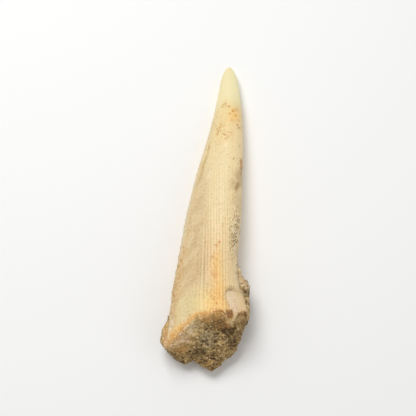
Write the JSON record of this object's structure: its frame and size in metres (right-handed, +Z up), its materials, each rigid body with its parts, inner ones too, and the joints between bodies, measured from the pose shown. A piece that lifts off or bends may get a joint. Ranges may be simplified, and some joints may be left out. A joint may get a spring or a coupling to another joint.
{
  "type": "fossil fish tooth",
  "caption": "Long tapering fossil fish fang, ivory with fine lengthwise ridges and one sharp keel, its broken root still held in a lump of cemented sand; lies flat.",
  "frame": {"origin": "under the middle of the bounding box, on the surface that the fossil lies on", "axes": "+Y along the tooth towards its tip, +Z up, the keel towards -X"},
  "size_m": [0.0138, 0.0512, 0.0092],
  "materials": {
    "tooth": "smooth fossil enamel, ivory with orange stains, satin",
    "matrix": "rough grey-brown cemented sand, matt"
  },
  "bodies": {
    "root": {"tooth": "tooth", "matrix": "matrix"}
  },
  "joints": []
}
